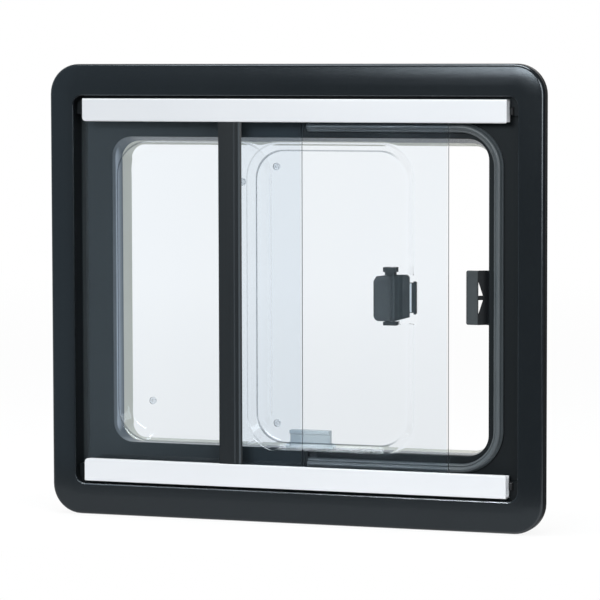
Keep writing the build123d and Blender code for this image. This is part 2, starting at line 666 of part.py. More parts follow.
parts = {
    "outer_frame": make_outer_frame(),
    "inner_frame": make_inner_frame(),
    "top_rail": make_rail(True),
    "bottom_rail": make_rail(False),
    "top_rail_stops": make_rail_stops(True),
    "bottom_rail_stops": make_rail_stops(False),
    "fixed_pane_sheet": slab(fixed_outline(), FIXED_FRONT, FIXED_FRONT + SHEET_T),
    "fixed_pane_tray": make_tray(FIXED_MID, fixed_outline(), FIXED_FRONT + SHEET_T),
    "fixed_pane_vents": make_fixed_vents(),
    "pane_block": make_block(),
    "opening_seal": make_seal(),
    "latch_catch": make_catch(),
    "sash_sheet": slab(sash_outline(), SASH_FRONT, SASH_FRONT + SHEET_T),
    "sash_tray": make_tray(SASH_MID, sash_outline(), SASH_FRONT + SHEET_T),
    "sash_vents": make_sash_vents(),
    "sash_bar": make_bar(),
    "sash_bar_seal": make_bar_seal(),
    "sash_top_glides": make_glides(True),
    "sash_bottom_glides": make_glides(False),
    "latch_base": make_latch_base(),
    "latch_pin": make_latch_pin(),
    "latch_lever": make_latch_lever(),
    "latch_leaf": make_latch_leaf(),
}

for name, part in parts.items():
    export_step(part, f"parts/{name}.step")
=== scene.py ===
import math
import bpy
from mathutils import Matrix, Vector


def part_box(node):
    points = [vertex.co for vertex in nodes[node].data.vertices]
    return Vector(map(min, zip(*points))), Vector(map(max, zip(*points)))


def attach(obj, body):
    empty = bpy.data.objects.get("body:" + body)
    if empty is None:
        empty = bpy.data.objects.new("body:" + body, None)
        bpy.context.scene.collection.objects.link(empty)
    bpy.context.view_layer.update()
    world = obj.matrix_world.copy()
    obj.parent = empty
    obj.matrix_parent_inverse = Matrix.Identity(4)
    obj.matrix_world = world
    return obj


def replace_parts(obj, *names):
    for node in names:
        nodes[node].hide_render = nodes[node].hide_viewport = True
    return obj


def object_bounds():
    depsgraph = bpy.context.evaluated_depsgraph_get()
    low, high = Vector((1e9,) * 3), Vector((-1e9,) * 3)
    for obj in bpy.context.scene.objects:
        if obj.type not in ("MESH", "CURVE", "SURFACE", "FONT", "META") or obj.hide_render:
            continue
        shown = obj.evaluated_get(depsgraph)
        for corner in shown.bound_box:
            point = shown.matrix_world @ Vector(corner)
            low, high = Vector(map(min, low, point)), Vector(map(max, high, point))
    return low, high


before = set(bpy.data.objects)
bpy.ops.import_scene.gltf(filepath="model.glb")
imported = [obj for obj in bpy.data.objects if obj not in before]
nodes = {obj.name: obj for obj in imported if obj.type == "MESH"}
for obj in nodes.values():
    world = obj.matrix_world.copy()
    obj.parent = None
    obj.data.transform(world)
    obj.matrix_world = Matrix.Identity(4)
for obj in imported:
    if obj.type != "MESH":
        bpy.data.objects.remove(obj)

cad_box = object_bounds()


# Outer frame: one black moulding with the flange outside, the stepped recess and the sleeve through the wall.
# Foamed plastic with a hard skin; the flange has a fine satin grain, and the recess is dull.
# A painted highlight gleams on the lower lip and the right outer edge; painted shade darkens the outer
# rounding.
# The pane's rebate is grey with the bonding paste of the fixed pane; the sleeve is painted light grey as
# painted light from the opening, lighter still on the left.
class Wire:
    """One value in a finish. Sums and products of wires add Math nodes to its tree."""

    def __init__(self, tree, socket=None):
        self.tree = tree
        self.socket = socket

    def node(self, kind, settings=None, sockets=None, out=0):
        """One output of a new node. Its settings are set first, then its sockets get values or wires."""
        made = self.tree.nodes.new(kind)
        for key, value in (settings or {}).items():
            setattr(made, key, value)
        for key, value in (sockets or {}).items():
            self.feed(made.inputs[key], value)
        return Wire(self.tree, made.outputs[out])

    def outputs(self, *names):
        """Wires from the named outputs of the node that this wire comes from."""
        return [Wire(self.tree, self.socket.node.outputs[name]) for name in names]

    def feed(self, target, value):
        if isinstance(value, Wire):
            self.tree.links.new(value.socket, target)
        else:
            target.default_value = value

    def maths(self, operation, a, b):
        return self.node("ShaderNodeMath", {"operation": operation}, {0: a, 1: b})

    def larger(self, other):
        return self.maths("MAXIMUM", self, other)

    def under(self, limit):
        """1 where the value is under the limit, or else 0."""
        return self.maths("LESS_THAN", self, limit)

    def __abs__(self):
        return self.node("ShaderNodeMath", {"operation": "ABSOLUTE"}, {0: self})

    def __add__(self, other):
        return self.maths("ADD", self, other)

    def __radd__(self, other):
        return self.maths("ADD", other, self)

    def __sub__(self, other):
        return self.maths("SUBTRACT", self, other)

    def __rsub__(self, other):
        return self.maths("SUBTRACT", other, self)

    def __mul__(self, other):
        return self.maths("MULTIPLY", self, other)

    def __rmul__(self, other):
        return self.maths("MULTIPLY", other, self)

    def __pow__(self, other):
        return self.maths("POWER", self, other)


def new_finish(name):
    """A new material, its surface shader, and the place on the piece in metres, which moves with it."""
    finish = bpy.data.materials.new(name)
    finish.use_nodes = True
    tree = finish.node_tree
    skin = Wire(tree, tree.nodes["Principled BSDF"].outputs[0])
    return finish, skin, skin.node("ShaderNodeTexCoord", out="Object")


def set_surface(skin, **values):
    """Feeds a shader's sockets, given by their names with underscores."""
    for key, value in values.items():
        skin.feed(skin.socket.node.inputs[key.replace("_", " ")], value)


def layered(share, under, over):
    """One shader over another, by a share from 0 to 1."""
    return share.node("ShaderNodeMixShader", {}, {0: share, 1: under, 2: over})


def show(shader):
    """Makes a shader the one that its finish shows."""
    shader.feed(shader.tree.nodes["Material Output"].inputs["Surface"], shader)


def axes_of(vector):
    return vector.node("ShaderNodeSeparateXYZ", {}, {0: vector}).outputs("X", "Y", "Z")


def grain(place, size, stretch=(1, 1, 1), detail=2.0):
    """Cloudy pattern from 0 to 1 whose spots are about that many metres across."""
    scaled = place.node("ShaderNodeMapping", {}, {"Vector": place, "Scale": [s / size for s in stretch]})
    return place.node("ShaderNodeTexNoise", {}, {"Vector": scaled, "Scale": 1.0, "Detail": detail})


def blend_colour(share, low, high):
    """Colour between low and high by a share from 0 to 1."""
    return share.node("ShaderNodeMix", {"data_type": "RGBA"}, {0: share, 6: low, 7: high}, out=2)


def ramp_share(value, low, high):
    """Share from 0 at low to 1 at high, smooth between."""
    return value.node("ShaderNodeMapRange", {"interpolation_type": "SMOOTHSTEP"},
                      {"Value": value, "From Min": low, "From Max": high})


def band_share(value, start, full, fading, end):
    """Share that rises from start to full and falls from fading to end."""
    return ramp_share(value, start, full) * ramp_share(value, end, fading)


def bumps(height, strength, depth):
    return height.node("ShaderNodeBump", {}, {"Height": height, "Strength": strength, "Distance": depth})


def wear_finish(finish, *names):
    """Gives CAD nodes their finish."""
    for name in names:
        nodes[name].data.materials.clear()
        nodes[name].data.materials.append(finish)


FRAME_LOW, FRAME_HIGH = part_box("outer_frame")
MID_Z = round((FRAME_LOW.z + FRAME_HIGH.z) / 2, 4)
HALF_W = FRAME_HIGH.x
HALF_H = FRAME_HIGH.z - MID_Z
FLANGE_SIDE = 0.0275
FLANGE_TOP = 0.0335
FLANGE_R = 0.0320
# Each range says where a mark starts and where it is full, and for a band also where it fades and ends.
PASTE_DEPTH = (0.0060, 0.0085)
SLEEVE_DEPTH = (0.0097, 0.0105)
LEFT_LIT_DEPTH = (0.0135, 0.0160)
LEFT_LIT_SIDE = (-0.2050, -0.2100)
RECESS_DEPTH = (-0.0132, -0.0118)
RECESS_PAST_LIP = (0.0012, -0.0004)
SHADED_RIM = (-0.0008, -0.0003)
GLINT_LIP = (-0.0003, 0.0001, 0.0009, 0.0013)
GLINT_LIP_DEPTH = (-0.0128, -0.0133)
GLINT_LIP_SIDE = (-0.0050, -0.0110)
GLINT_LIP_FOOT = (-0.2000, -0.2070)
GLINT_EDGE = (-0.0029, -0.0022, -0.0013, -0.0008)
GLINT_EDGE_SIDE = (0.16, 0.26)
SATIN_TONES = ((0.0078, 0.0098, 0.0114, 1), (0.0102, 0.0126, 0.0145, 1))
SATIN_SHEEN = (0.82, 0.92, 1, 1)
RECESS_TONE = (0.0035, 0.0046, 0.0054, 1)
RECESS_SHEEN = (0.84, 0.94, 1, 1)
PASTE_TONE = (0.028, 0.034, 0.037, 1)
SLEEVE_LIT_TONE = (0.115, 0.131, 0.145, 1)
LEFT_LIT_TONE = (0.430, 0.475, 0.530, 1)
GLINT_TONE = (0.62, 0.65, 0.68, 1)

frame_black, satin, place = new_finish("frame_black")
fine = grain(place, size=0.0009, detail=3.0)
broad = grain(place, size=0.07)
set_surface(satin, Base_Color=blend_colour(broad, *SATIN_TONES), Roughness=0.12 + 0.06 * fine + 0.03 * broad,
            Specular_IOR_Level=0.5, Specular_Tint=SATIN_SHEEN,
            Normal=bumps(fine, strength=0.08, depth=0.0004))

side, depth, up = axes_of(place)
height = up - MID_Z
bed = blend_colour(ramp_share(depth, *PASTE_DEPTH), RECESS_TONE, PASTE_TONE)
# The sleeve is painted light grey, and much lighter on the left: painted light from the opening.
left_lit = ramp_share(side, *LEFT_LIT_SIDE) * ramp_share(depth, *LEFT_LIT_DEPTH)
lit_sleeve = blend_colour(left_lit, SLEEVE_LIT_TONE, LEFT_LIT_TONE)
reveal = ramp_share(depth, *SLEEVE_DEPTH)
dull = satin.node("ShaderNodeBsdfPrincipled")
set_surface(dull, Base_Color=blend_colour(reveal, bed, lit_sleeve), Roughness=0.40 + 0.12 * fine - 0.2 * reveal,
            Specular_IOR_Level=0.25, Specular_Tint=RECESS_SHEEN)

past_side = abs(side) - (HALF_W - FLANGE_SIDE)
past_top = abs(height) - (HALF_H - FLANGE_TOP)
past_lip = past_side.larger(past_top)
recess = ramp_share(past_lip, *RECESS_PAST_LIP) * ramp_share(depth, *RECESS_DEPTH)
corner_x = (abs(side) - (HALF_W - FLANGE_R)).larger(0.0)
corner_z = (abs(height) - (HALF_H - FLANGE_R)).larger(0.0)
from_rim = (corner_x ** 2.0 + corner_z ** 2.0) ** 0.5 - FLANGE_R
# The flange's outer rounding takes the dark, dull shader: painted shade in place of its reflection.
moulded = layered(recess.larger(0.85 * ramp_share(from_rim, *SHADED_RIM)), satin, dull)

# Painted highlight: a polished metal gleam mixed onto the lower lip and the right outer edge, where lamps
# glint.
glint_shader = satin.node("ShaderNodeBsdfPrincipled")
set_surface(glint_shader, Base_Color=GLINT_TONE, Metallic=1.0, Roughness=0.18)
lip_glint = band_share(past_lip, *GLINT_LIP) * ramp_share(depth, *GLINT_LIP_DEPTH)
lip_glint = lip_glint * ramp_share(past_side, *GLINT_LIP_SIDE) * (0.15 + 0.55 * ramp_share(height, *GLINT_LIP_FOOT))
edge = band_share(from_rim, *GLINT_EDGE) * ramp_share(side, *GLINT_EDGE_SIDE)
show(layered(lip_glint + 0.06 * edge, moulded, glint_shader))
wear_finish(frame_black, "outer_frame")


# Rails: two drawn aluminium channels at top and bottom that the sash runs in, silver anodised.
# Drawing leaves faint lines along their length; they lie on seats in the frame.
RAIL_TONES = ((0.69, 0.702, 0.725, 1), (0.75, 0.758, 0.775, 1))

rail_silver, skin, place = new_finish("rail_silver")
drawn = grain(place, size=0.0012, stretch=(0.004, 1, 1), detail=4.0)
cloud = grain(place, size=0.05, stretch=(0.4, 1, 1))
set_surface(skin, Base_Color=blend_colour(cloud, *RAIL_TONES), Metallic=0.18, Roughness=0.34 + 0.16 * drawn,
            Normal=bumps(drawn, strength=0.06, depth=0.0003))
wear_finish(rail_silver, "top_rail", "bottom_rail")


# Rail stops and glides: small soft-edged pieces cut or moulded from dark slippery plastic.
# The stops sit past the rail ends; the glides are clipped on the sash and run in the rails.
GLIDE_TONES = ((0.010, 0.011, 0.012, 1), (0.022, 0.023, 0.025, 1))

glide_plastic, skin, place = new_finish("glide_plastic")
fine = grain(place, size=0.0006)
set_surface(skin, Base_Color=blend_colour(fine, *GLIDE_TONES), Roughness=0.42 + 0.12 * fine,
            Specular_IOR_Level=0.35, Normal=bumps(fine, strength=0.15, depth=0.0002))
wear_finish(glide_plastic, "top_rail_stops", "bottom_rail_stops", "sash_top_glides", "sash_bottom_glides")


# Panes: each is a flat outer sheet of clear acrylic, bonded at its rim to an inner tray with an air space.
# The tray is drawn into a shallow dish with wide round corners; the fixed pane is bonded into the frame's
# rebate. Beside the latch the tray's slope is drawn as clear as a flat sheet, so that the hook shows unbent.
STEPS_PER_MM = 20
CORNER_STEPS = 14
SMOOTH_BELOW = 34
SHEET_T = 3.0
SHEET_R = 8.0
PANE_T = 5.0
EASED = 0.4
BACK_EASED = 0.2
BACK_INSET = 0.15
RIM_INSET = 1.0
AIR_INSET = 2.4
BOND_T = 0.15
TRAY_RISE = 9.0
TRAY_SLOPE = 9.5
TRAY_WALL = 1.85
TRAY_RIM = (-2.8, 0.0)
TRAY_FOOT = ((-1.6, 0.0), (0.0, 0.0), (1.1, 1.05))
TRAY_SIDE = [(1.5, 1.43), (6.7, 6.32)]
TRAY_SHOULDER = ((7.1, 6.7), (TRAY_SLOPE, TRAY_RISE), (12.9, TRAY_RISE))
TRAY_FLOOR = (14.0, TRAY_RISE)
CUT_EDGE_FACING = (0.45, 0.15)
FOLD_FACING = (0.79, 0.83, 0.88, 0.92)
FOLD_TURNED = (-0.40, -0.15)
FOLD_FAINT_DEPTH = (-0.0050, -0.0035)
FOLD_END_DEPTH = (0.0140, 0.0125)
WIPED_DULL = (0.45, 0.75)
PATCH_PAST_HOOK = (-0.0108, -0.0088, 0.0100, 0.0112)
PATCH_OVER = 0.0012
CLEAR_TONES = ((0.959, 0.980, 1.0, 1), (0.967, 0.986, 1.0, 1))
FOLD_SHADE_TONE = (0.36, 0.39, 0.42, 1)
CUT_EDGE_SHADE_TONE = (0.045, 0.055, 0.065, 1)
PASSED_LIGHT = (0.955, 0.965, 0.975, 1)
UNBENT_LIGHT = (0.966, 0.976, 0.984, 1)


def sides_of(node):
    """Left, right, front, back, bottom and top of a CAD piece in mm, heights from the window's middle."""
    low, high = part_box(node)
    sides = (low.x, high.x, low.y, high.y, low.z - MID_Z, high.z - MID_Z)
    return [round(side * 1000 * STEPS_PER_MM) / STEPS_PER_MM for side in sides]


def arc_points(x, y, r, start, end, steps):
    """Points of an arc from one angle to another, in degrees."""
    turns = [math.radians(start + (end - start) * i / steps) for i in range(steps + 1)]
    return [(x + r * math.cos(a), y + r * math.sin(a)) for a in turns]


def outline_ring(left, right, bottom, top, r, y):
    """Points round a rounded rectangle at one depth, in mm from the middle of the window."""
    ring = []
    for corner_x, corner_z, start in ((right - r, top - r, 0), (left + r, top - r, 90),
                                      (left + r, bottom + r, 180), (right - r, bottom + r, 270)):
        arc = arc_points(corner_x, corner_z, r, start, start + 90, CORNER_STEPS)
        ring += [(x, y, z) for x, z in arc]
    return ring


def soft_corner(before, corner, after, steps):
    """Points of a rounded profile corner, as pairs of inset and depth."""
    line = []
    for i in range(steps + 1):
        t = i / steps
        line.append(tuple((1 - t) ** 2 * b + 2 * t * (1 - t) * c + t ** 2 * a
                          for b, c, a in zip(before, corner, after)))
    return line


def thinned(line, t):
    """A profile moved outward by t along its own normals, so that the skin keeps one thickness."""
    moved = []
    for k, (u, y) in enumerate(line):
        u0, y0 = line[max(k - 1, 0)]
        u1, y1 = line[min(k + 1, len(line) - 1)]
        run = math.hypot(u1 - u0, y1 - y0)
        moved.append((u + t * (y1 - y0) / run, y - t * (u1 - u0) / run))
    return moved


def skin_faces(rings, n, outward=True):
    """Faces of a closed skin through a number of rings with n points each, capped at both ends."""
    faces = [list(range(n))]
    for k in range(rings - 1):
        a = k * n
        b = a + n
        for i in range(n):
            j = (i + 1) % n
            faces.append([a + j, a + i, b + i, b + j])
    last = (rings - 1) * n
    faces.append([last + i for i in reversed(range(n))])
    return faces if outward else [list(reversed(face)) for face in faces]


def place_mesh(name, shells, finish, body):
    """One object made of closed shells, each with its points in mm and its faces."""
    points = []
    faces = []
    for shell_points, shell_faces in shells:
        faces += [[i + len(points) for i in face] for face in shell_faces]
        points += shell_points
    mesh = bpy.data.meshes.new(name)
    mesh.from_pydata([(x / 1000, y / 1000, z / 1000 + MID_Z) for x, y, z in points], [], faces)
    mesh.validate()
    mesh.shade_smooth()
    mesh.set_sharp_from_angle(angle=math.radians(SMOOTH_BELOW))
    mesh.materials.append(finish)
    thing = bpy.data.objects.new(name, mesh)
    bpy.context.scene.collection.objects.link(thing)
    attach(thing, body)
    return thing


def make_pane(name, body, sheet, tray, middle_x, middle_z, width, height, corner_r):
    """A bonded double pane: sheet with eased edges, rim, drawn tray, and the air space as a second skin."""
    left, right, front, _, bottom, top = sides_of(sheet)

    def sheet_ring(inset, y):
        return outline_ring(left + inset, right - inset, bottom + inset, top - inset,
                            SHEET_R - inset, front + y)

    def tray_ring(inset, y):
        half_x = width / 2 - inset
        half_z = height / 2 - inset
        return outline_ring(middle_x - half_x, middle_x + half_x, middle_z - half_z, middle_z + half_z,
                            corner_r - inset / 2, front + PANE_T + y)

    profile = [TRAY_RIM] + soft_corner(*TRAY_FOOT, steps=6) + TRAY_SIDE
    profile += soft_corner(*TRAY_SHOULDER, steps=8) + [TRAY_FLOOR]
    edge = ((EASED, 0.0), (0.0, EASED), (0.0, SHEET_T - BACK_EASED), (BACK_INSET, SHEET_T),
            (RIM_INSET, SHEET_T), (RIM_INSET, PANE_T - EASED), (RIM_INSET + EASED, PANE_T))
    outer = [sheet_ring(*spot) for spot in edge] + [tray_ring(*spot) for spot in profile]
    hollow = [sheet_ring(AIR_INSET, SHEET_T), sheet_ring(AIR_INSET, SHEET_T + BOND_T)]
    hollow += [tray_ring(*spot) for spot in thinned(profile, TRAY_WALL)]
    shells = []
    for rings, outward in ((outer, True), (hollow, False)):
        shells.append(([point for ring in rings for point in ring],
                       skin_faces(len(rings), len(rings[0]), outward)))
    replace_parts(place_mesh(name, shells, clear_acrylic, body), sheet, tray)


clear_acrylic, skin, place = new_finish("clear_acrylic")
wiped = grain(place, size=0.06, stretch=(1, 1, 0.35), detail=4.0)
facing_x, facing_y, _ = axes_of(skin.node("ShaderNodeTexCoord", out="Normal"))
flat = abs(facing_y)
# The cut edges are tinted dark as painted shade, and made rough like a sawn edge.
cut_edge = ramp_share(flat, *CUT_EDGE_FACING)
side, depth, up = axes_of(place)
# Dark lines on the tray's folds are painted shade in the acrylic's tint, on some sides and depths only.
fold_shade = band_share(flat, *FOLD_FACING) * ramp_share(facing_x, *FOLD_TURNED)
fold_shade = fold_shade * (0.4 + 0.6 * ramp_share(depth, *FOLD_FAINT_DEPTH)) * ramp_share(depth, *FOLD_END_DEPTH)
tint = blend_colour(fold_shade, blend_colour(wiped, *CLEAR_TONES), FOLD_SHADE_TONE)
set_surface(skin, Base_Color=blend_colour(cut_edge, tint, CUT_EDGE_SHADE_TONE), IOR=1.33, Transmission_Weight=1.0,
            Roughness=0.30 * cut_edge + 0.012 * ramp_share(wiped, *WIPED_DULL))

lever_low, lever_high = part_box("latch_lever")
from_lever = abs(up - (lever_low.z + lever_high.z) / 2)
by_latch = band_share(side, *[lever_high.x + past for past in PATCH_PAST_HOOK])
by_latch = by_latch * from_lever.under((lever_high.z - lever_low.z) / 2 + PATCH_OVER)
unbent = skin.node("ShaderNodeBsdfTransparent", {}, {"Color": UNBENT_LIGHT})
shadow_ray, diffuse_ray = skin.node("ShaderNodeLightPath").outputs("Is Shadow Ray", "Is Diffuse Ray")
passed = skin.node("ShaderNodeBsdfTransparent", {}, {"Color": PASSED_LIGHT})
show(layered(shadow_ray.larger(diffuse_ray), layered(by_latch, skin, unbent), passed))
make_pane("fixed_pane", "frame", "fixed_pane_sheet", "fixed_pane_tray",
          middle_x=-117.15, middle_z=-1.5, width=178.0, height=324.0, corner_r=36.0)


# Air-hole stoppers: small push-in plugs of milky plastic that close the holes left in each tray.
# Each is a cap with a raised rim and a little boss; they sit in corners of the trays, on the room side.
TURNED_SIDES = 32
CAP_R = 4.0
CAP = ((2.2, 0.08), (3.8, 0.08), (CAP_R, 0.3), (CAP_R, 1.5), (3.6, 2.3), (3.1, 2.5), (2.6, 2.3), (2.4, 1.2),
       (1.4, 1.1), (1.2, 1.9), (0.9, 2.1), (0.05, 2.1))
CAP_TONES = ((0.80, 0.83, 0.86, 1), (0.90, 0.92, 0.94, 1))


def turned(profile, x, z):
    """A turned shell about an axis that runs inward; profile gives radius, depth and the share of a cross."""
    points = []
    for r, y, cross in profile:
        for i in range(TURNED_SIDES):
            a = 2 * math.pi * i / TURNED_SIDES
            reach = r * (1 - cross + cross * math.cos(4 * a))
            points.append((x + reach * math.cos(a), y, z + reach * math.sin(a)))
    return points, skin_faces(len(profile), TURNED_SIDES)


vent_plastic, skin, place = new_finish("vent_plastic")
cloud = grain(place, size=0.002)
set_surface(skin, Base_Color=blend_colour(cloud, *CAP_TONES), Roughness=0.10 + 0.10 * cloud, IOR=1.30,
            Transmission_Weight=0.92)
for name, body in (("fixed_pane_vents", "frame"), ("sash_vents", "sash")):
    left, right, front, _, bottom, top = sides_of(name)
    profile = [(r, front + y, 0) for r, y in CAP]
    caps = [turned(profile, left + CAP_R, bottom + CAP_R), turned(profile, right - CAP_R, top - CAP_R)]
    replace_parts(place_mesh(name[:-1] + "_caps", caps, vent_plastic, body), name)


# Pane block: a moulded spacer of pale grey-green plastic on the sill, behind the fixed pane's free corner.
# A lip along its top hooks the pane's edge and a low foot spreads at both ends; the plastic is milky.
BLOCK_EASED = 0.4
BLOCK_LIP = 2.8
BLOCK_LIP_H = 3.6
BLOCK_LIP_ROOT_H = 4.8
FOOT_L = 4.4
FOOT_JOIN = 0.05
FOOT_INSET = 0.1
FOOT_TIP_H = 3.5
FOOT_ROOT_H = 5.8
BLOCK_TONES = ((0.50, 0.575, 0.60, 1), (0.55, 0.625, 0.65, 1))

block_clear, skin, place = new_finish("block_clear")
cloud = grain(place, size=0.006)
set_surface(skin, Base_Color=blend_colour(cloud, *BLOCK_TONES), Roughness=0.30 + 0.10 * cloud, Alpha=0.6)
left, right, front, back, sill, top = sides_of("pane_block")
web = front + BLOCK_LIP
outline = ((front, top - BLOCK_EASED), (front + BLOCK_EASED, top), (back - BLOCK_EASED, top),
           (back, top - BLOCK_EASED), (back, sill), (web, sill), (web, top - BLOCK_LIP_ROOT_H),
           (front, top - BLOCK_LIP_H))
ends = (left + FOOT_L, right - FOOT_L)
shells = [([(x, y, z) for x in ends for y, z in outline], skin_faces(2, len(outline)))]
for root, tip in ((ends[0] - FOOT_JOIN, left), (ends[1] + FOOT_JOIN, right)):
    outline = ((root, sill), (tip, sill), (tip, sill + FOOT_TIP_H), (root, sill + FOOT_ROOT_H))
    points = [(x, y, z) for y in (front + FOOT_INSET, back - FOOT_INSET) for x, z in outline]
    shells.append((points, skin_faces(2, len(outline), tip < root)))
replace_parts(place_mesh("pane_block_moulding", shells, block_clear, "frame"), "pane_block")


# Opening seal and bar seal: extruded black rubber, a foot bonded to the frame's land and a soft bulb on it.
# The extrusion leaves faint lines along it and a dry bloom that makes the rubber look grey.
SEAL_W = 9.6
SEAL_R = 46.0
SEAL_CORNER_STEPS = 24
SEAL_FOOT_Y = -1.2
SEAL_NECK = (0.4, -1.6)
SEAL_HEEL = (9.3, -1.7)
SEAL_BULB = arc_points(4.1, -4.4, 2.8, 150, 340, 12)
SEAL_LIP = arc_points(7.9, -3.4, 1.3, 205, 360, 8)
RUBBER_TONES = ((0.058, 0.070, 0.077, 1), (0.078, 0.092, 0.100, 1))

seal_rubber, skin, place = new_finish("seal_rubber")
fine = grain(place, size=0.0012, detail=3.0)
bloom = grain(place, size=0.03, detail=3.0)
set_surface(skin, Base_Color=blend_colour(bloom, *RUBBER_TONES), Roughness=0.30 + 0.12 * fine,
            Specular_IOR_Level=0.6, Normal=bumps(fine, strength=0.12, depth=0.0003))
wear_finish(seal_rubber, "sash_bar_seal")

seal_start, seal_side, _, land, seal_bottom, seal_top = sides_of("opening_seal")
seal_middle = (seal_bottom + seal_top) / 2


def seal_path(inset, y):
    """Points of one line along the seal, from its upper cut end round to the lower one."""
    half_x = seal_side - inset
    half_z = (seal_top - seal_bottom) / 2 - inset
    r = SEAL_R - inset
    line = [(seal_start, half_z)]
    for corner_z, start in ((half_z - r, 90), (r - half_z, 0)):
        line += arc_points(half_x - r, corner_z, r, start, start - 90, SEAL_CORNER_STEPS)
    line.append((seal_start, -half_z))
    return [(x, y, z + seal_middle) for x, z in line]


section = [(0.0, land), (0.0, SEAL_FOOT_Y), SEAL_NECK] + SEAL_BULB + SEAL_LIP
section += [SEAL_HEEL, (SEAL_W, SEAL_FOOT_Y), (SEAL_W, land)]
lines = [seal_path(*spot) for spot in section]
points = [line[k] for k in range(len(lines[0])) for line in lines]
shells = [(points, skin_faces(len(lines[0]), len(section), outward=False))]
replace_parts(place_mesh("opening_seal_bulb", shells, seal_rubber, "frame"), "opening_seal")


# Catch and latch mouldings: hard black plastic with an even satin grain.
# The catch is fixed to the side of the opening; the latch rocks on a steel pin on the sash.
LATCH_TONES = ((0.030, 0.0385, 0.042, 1), (0.039, 0.0485, 0.052, 1))
CATCH_SHADED_TONES = ((0.044, 0.053, 0.057, 1), (0.0065, 0.0085, 0.0105, 1))
CATCH_SHADE_PAST = (0.0122, 0.0129)

latch_black, skin, place = new_finish("latch_black")
fine = grain(place, size=0.0005)
broad = grain(place, size=0.02)
set_surface(skin, Base_Color=blend_colour(broad, *LATCH_TONES), Roughness=0.40 + 0.12 * fine,
            Specular_IOR_Level=0.45, Normal=bumps(fine, strength=0.14, depth=0.0002))
wear_finish(latch_black, "latch_base", "latch_lever")

catch_black, skin, place = new_finish("catch_black")
fine = grain(place, size=0.0005)
side, _, _ = axes_of(place)
# The catch's set-back part, right of its strike plate, is painted darker: painted shade.
set_back_shade = ramp_share(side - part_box("latch_catch")[0].x, *CATCH_SHADE_PAST)
set_surface(skin, Base_Color=blend_colour(set_back_shade, *CATCH_SHADED_TONES), Roughness=0.40 + 0.12 * fine,
            Specular_IOR_Level=0.35, Normal=bumps(fine, strength=0.14, depth=0.0002))
wear_finish(catch_black, "latch_catch")


# Sash pane: the same bonded double pane of clear acrylic as the fixed one, but taller.
# It slides in front of the fixed pane in the rails, and its left edge is gripped by the upright bar.
make_pane("sash_pane", "sash", "sash_sheet", "sash_tray",
          middle_x=41.5, middle_z=-3.0, width=186.0, height=327.0, corner_r=37.0)


# Upright bar: a drawn black section on the free edge of the sash, used as its grip.
# Gloss black plastic; its ridge and its right edge carry painted highlights, lighter lines in its colour.
BAR_RIDGE = (0.0166, 0.0176, 0.0182, 0.0188)
BAR_EDGE = (0.0218, 0.0230, 0.0241, 0.0247)
BAR_TONES = ((0.0085, 0.0108, 0.0128, 1), (0.0125, 0.0155, 0.0178, 1))
BAR_HIGHLIGHT_TONE = (0.052, 0.062, 0.070, 1)

bar_black, skin, place = new_finish("bar_black")
drawn = grain(place, size=0.001, stretch=(1, 1, 0.005), detail=3.0)
side, _, _ = axes_of(place)
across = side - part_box("sash_bar")[0].x
# Painted highlights: lighter lines along the bar's ridge and right edge.
painted_highlights = 0.5 * band_share(across, *BAR_RIDGE) + band_share(across, *BAR_EDGE)
set_surface(skin, Base_Color=blend_colour(painted_highlights, blend_colour(drawn, *BAR_TONES), BAR_HIGHLIGHT_TONE),
            Roughness=0.26 + 0.10 * drawn, Specular_IOR_Level=0.40,
            Normal=bumps(drawn, strength=0.05, depth=0.0003))
wear_finish(bar_black, "sash_bar")


# Latch pin and leaf: a turned steel pin through the bearing blocks and a thin plated leaf on the hook arm.
# The pin is bright stainless steel with fine brushed lines; the leaf is plated, with all but a strip at one
# edge painted dark as painted shade from the hook.
PIN_TONES = ((0.55, 0.57, 0.60, 1), (0.72, 0.73, 0.75, 1))
LEAF_TONES = ((0.62, 0.65, 0.67, 1), (0.70, 0.73, 0.75, 1))
LEAF_SHADE_TONE = (0.034, 0.043, 0.047, 1)
LEAF_UNSHADED = (-0.0001, 0.0001, 0.0017, 0.0020)
BRUSHED_LINES = (1, 1, 0.05)

pin_steel, skin, place = new_finish("pin_steel")
brushed = grain(place, size=0.0008, stretch=BRUSHED_LINES, detail=4.0)
set_surface(skin, Base_Color=blend_colour(brushed, *PIN_TONES), Metallic=1.0, Roughness=0.24 + 0.18 * brushed,
            Normal=bumps(brushed, strength=0.08, depth=0.0002))
wear_finish(pin_steel, "latch_pin")

leaf_plate, skin, place = new_finish("leaf_plate")
brushed = grain(place, size=0.0008, stretch=BRUSHED_LINES, detail=4.0)
side, _, _ = axes_of(place)
# Painted shade: the leaf is dark except for a pale strip at its left edge.
unshaded = band_share(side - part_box("latch_leaf")[0].x, *LEAF_UNSHADED)
set_surface(skin, Base_Color=blend_colour(unshaded, LEAF_SHADE_TONE, blend_colour(brushed, *LEAF_TONES)),
            Metallic=0.1, Roughness=0.40 + 0.15 * brushed, Normal=bumps(brushed, strength=0.08, depth=0.0002))
wear_finish(leaf_plate, "latch_leaf")


# Inner frame: a cream moulding that clamps the window from the room side, screwed to the sleeve.
# Satin plastic with a faint mould grain.
CREAM_TONES = ((0.56, 0.56, 0.50, 1), (0.62, 0.62, 0.56, 1))

cream_plastic, skin, place = new_finish("cream_plastic")
fine = grain(place, size=0.0008, detail=3.0)
broad = grain(place, size=0.08)
set_surface(skin, Base_Color=blend_colour(broad, *CREAM_TONES), Roughness=0.42 + 0.10 * fine,
            Specular_IOR_Level=0.4, Normal=bumps(fine, strength=0.08, depth=0.0003))
wear_finish(cream_plastic, "inner_frame")


